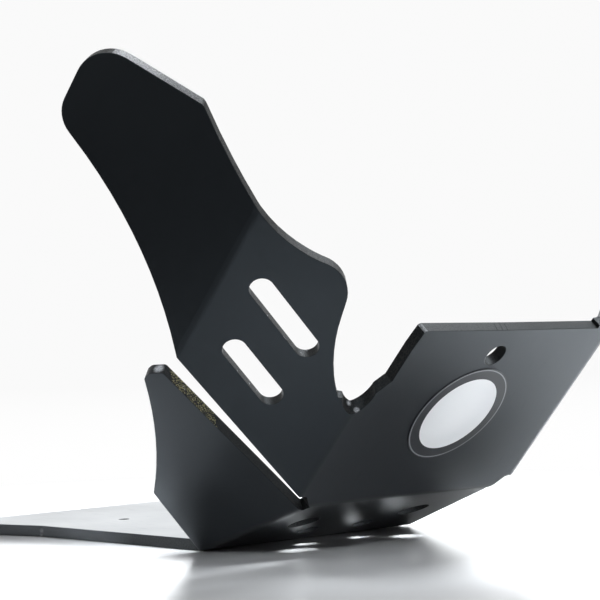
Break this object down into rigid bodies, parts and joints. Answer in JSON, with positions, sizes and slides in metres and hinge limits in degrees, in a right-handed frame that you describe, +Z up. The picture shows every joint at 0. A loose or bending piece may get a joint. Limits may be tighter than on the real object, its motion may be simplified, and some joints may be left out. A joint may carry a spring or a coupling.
{
  "type": "motorcycle skid plate",
  "caption": "Folded plastic skid plate for a motorcycle: flat belly, nose ramp and front panel, with slotted side wings that shield the lower engine.",
  "frame": {"origin": "under the middle of the plate's overall box, in the plane of the belly's underside", "axes": "+X forwards along the motorcycle, +Y to the rider's left, +Z up"},
  "size_m": [0.3576, 0.442, 0.2417],
  "materials": {
    "sheet": "satin black polyethylene with cut edges",
    "label": "printed vinyl label, dark rim and plain light centre"
  },
  "bodies": {
    "root": {"skid_plate": "sheet", "round_label": "label"}
  },
  "joints": []
}
